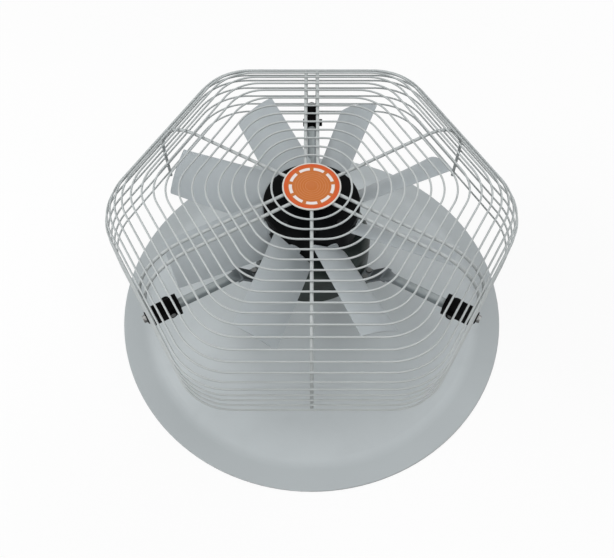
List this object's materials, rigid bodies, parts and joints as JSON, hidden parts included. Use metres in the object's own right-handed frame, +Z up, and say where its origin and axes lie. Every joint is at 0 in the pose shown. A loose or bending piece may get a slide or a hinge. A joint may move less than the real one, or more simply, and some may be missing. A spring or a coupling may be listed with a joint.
{
  "type": "axial ventilation fan",
  "caption": "Axial fan in a hexagonal wire guard with rounded corners, held by radial arms over a round flared air deflector.",
  "frame": {"origin": "middle of the deflector brim's underside, on the fan's axis", "axes": "+Z up the fan's axis from the deflector to the guard's flat face; the guard's flats face 30, 90, 150, 210, 270 and 330 degrees from +X towards +Y, and the arms stand at 90, 210 and 330 degrees"},
  "size_m": [0.76, 0.76, 0.3893],
  "materials": {
    "deflector_paint": "matte light blue-grey coating",
    "galvanised": "dull galvanised",
    "zinc_steel": "zinc plated",
    "dark_steel": "black oxide",
    "bright_steel": "ground steel",
    "motor_black": "semi-gloss black coating",
    "core_iron": "bare laminations",
    "copper_wire": "varnished copper wire",
    "magnet_grey": "ferrite",
    "hub_black": "moulded, slightly glossy",
    "blade_grey": "moulded, satin light grey",
    "arm_grey": "satin mid grey coating",
    "clamp_black": "moulded, matte",
    "wire_paint": "light grey powder coat on wire",
    "badge_rim": "pale gloss rim",
    "badge_orange": null
  },
  "bodies": {
    "frame": {"deflector_cone": "deflector_paint", "backing_plate": "galvanised", "seat_bolts": "zinc_steel", "motor_housing": "motor_black", "rear_cover": "motor_black", "cover_screws": "zinc_steel", "stator_core": "core_iron", "stator_windings": "copper_wire", "front_bearing": "bright_steel", "rear_bearing": "bright_steel", "cable_gland": "clamp_black", "arm_1": "arm_grey", "clamp_1": "clamp_black", "arm_2": "arm_grey", "clamp_2": "clamp_black", "arm_3": "arm_grey", "clamp_3": "clamp_black", "foot_bolts": "zinc_steel", "clamp_bolts": "zinc_steel", "clamp_nuts": "zinc_steel", "guard_bolts": "zinc_steel", "guard_washers": "dark_steel", "guard_rings_face": "wire_paint", "guard_rings_upper_shoulder": "wire_paint", "guard_rings_lower_shoulder": "wire_paint", "guard_rings_wall": "wire_paint", "guard_rib_1": "wire_paint", "guard_rib_2": "wire_paint", "guard_rib_3": "wire_paint", "guard_rib_pair_1": "wire_paint", "guard_rib_pair_2": "wire_paint", "guard_rib_pair_3": "wire_paint", "badge_plate": "wire_paint", "badge_cap": "badge_rim", "badge_label": "badge_orange"},
    "rotor": {"motor_shaft": "bright_steel", "shaft_key": "bright_steel", "rotor_core": "core_iron", "rotor_magnets": "magnet_grey", "hub_front": "hub_black", "hub_rear": "hub_black", "hub_bolts": "dark_steel", "hub_nuts": "zinc_steel", "shaft_bolt": "dark_steel", "shaft_washer": "dark_steel", "blade_1": "blade_grey", "blade_2": "blade_grey", "blade_3": "blade_grey", "blade_4": "blade_grey", "blade_5": "blade_grey", "blade_6": "blade_grey", "blade_7": "blade_grey", "blade_8": "blade_grey"}
  },
  "joints": [
    {"name": "fan_spin", "type": "hinge", "parent": "frame", "child": "rotor", "pos_m": [0, 0, 0.321], "axis": [0, 0, 1], "continuous": true}
  ]
}
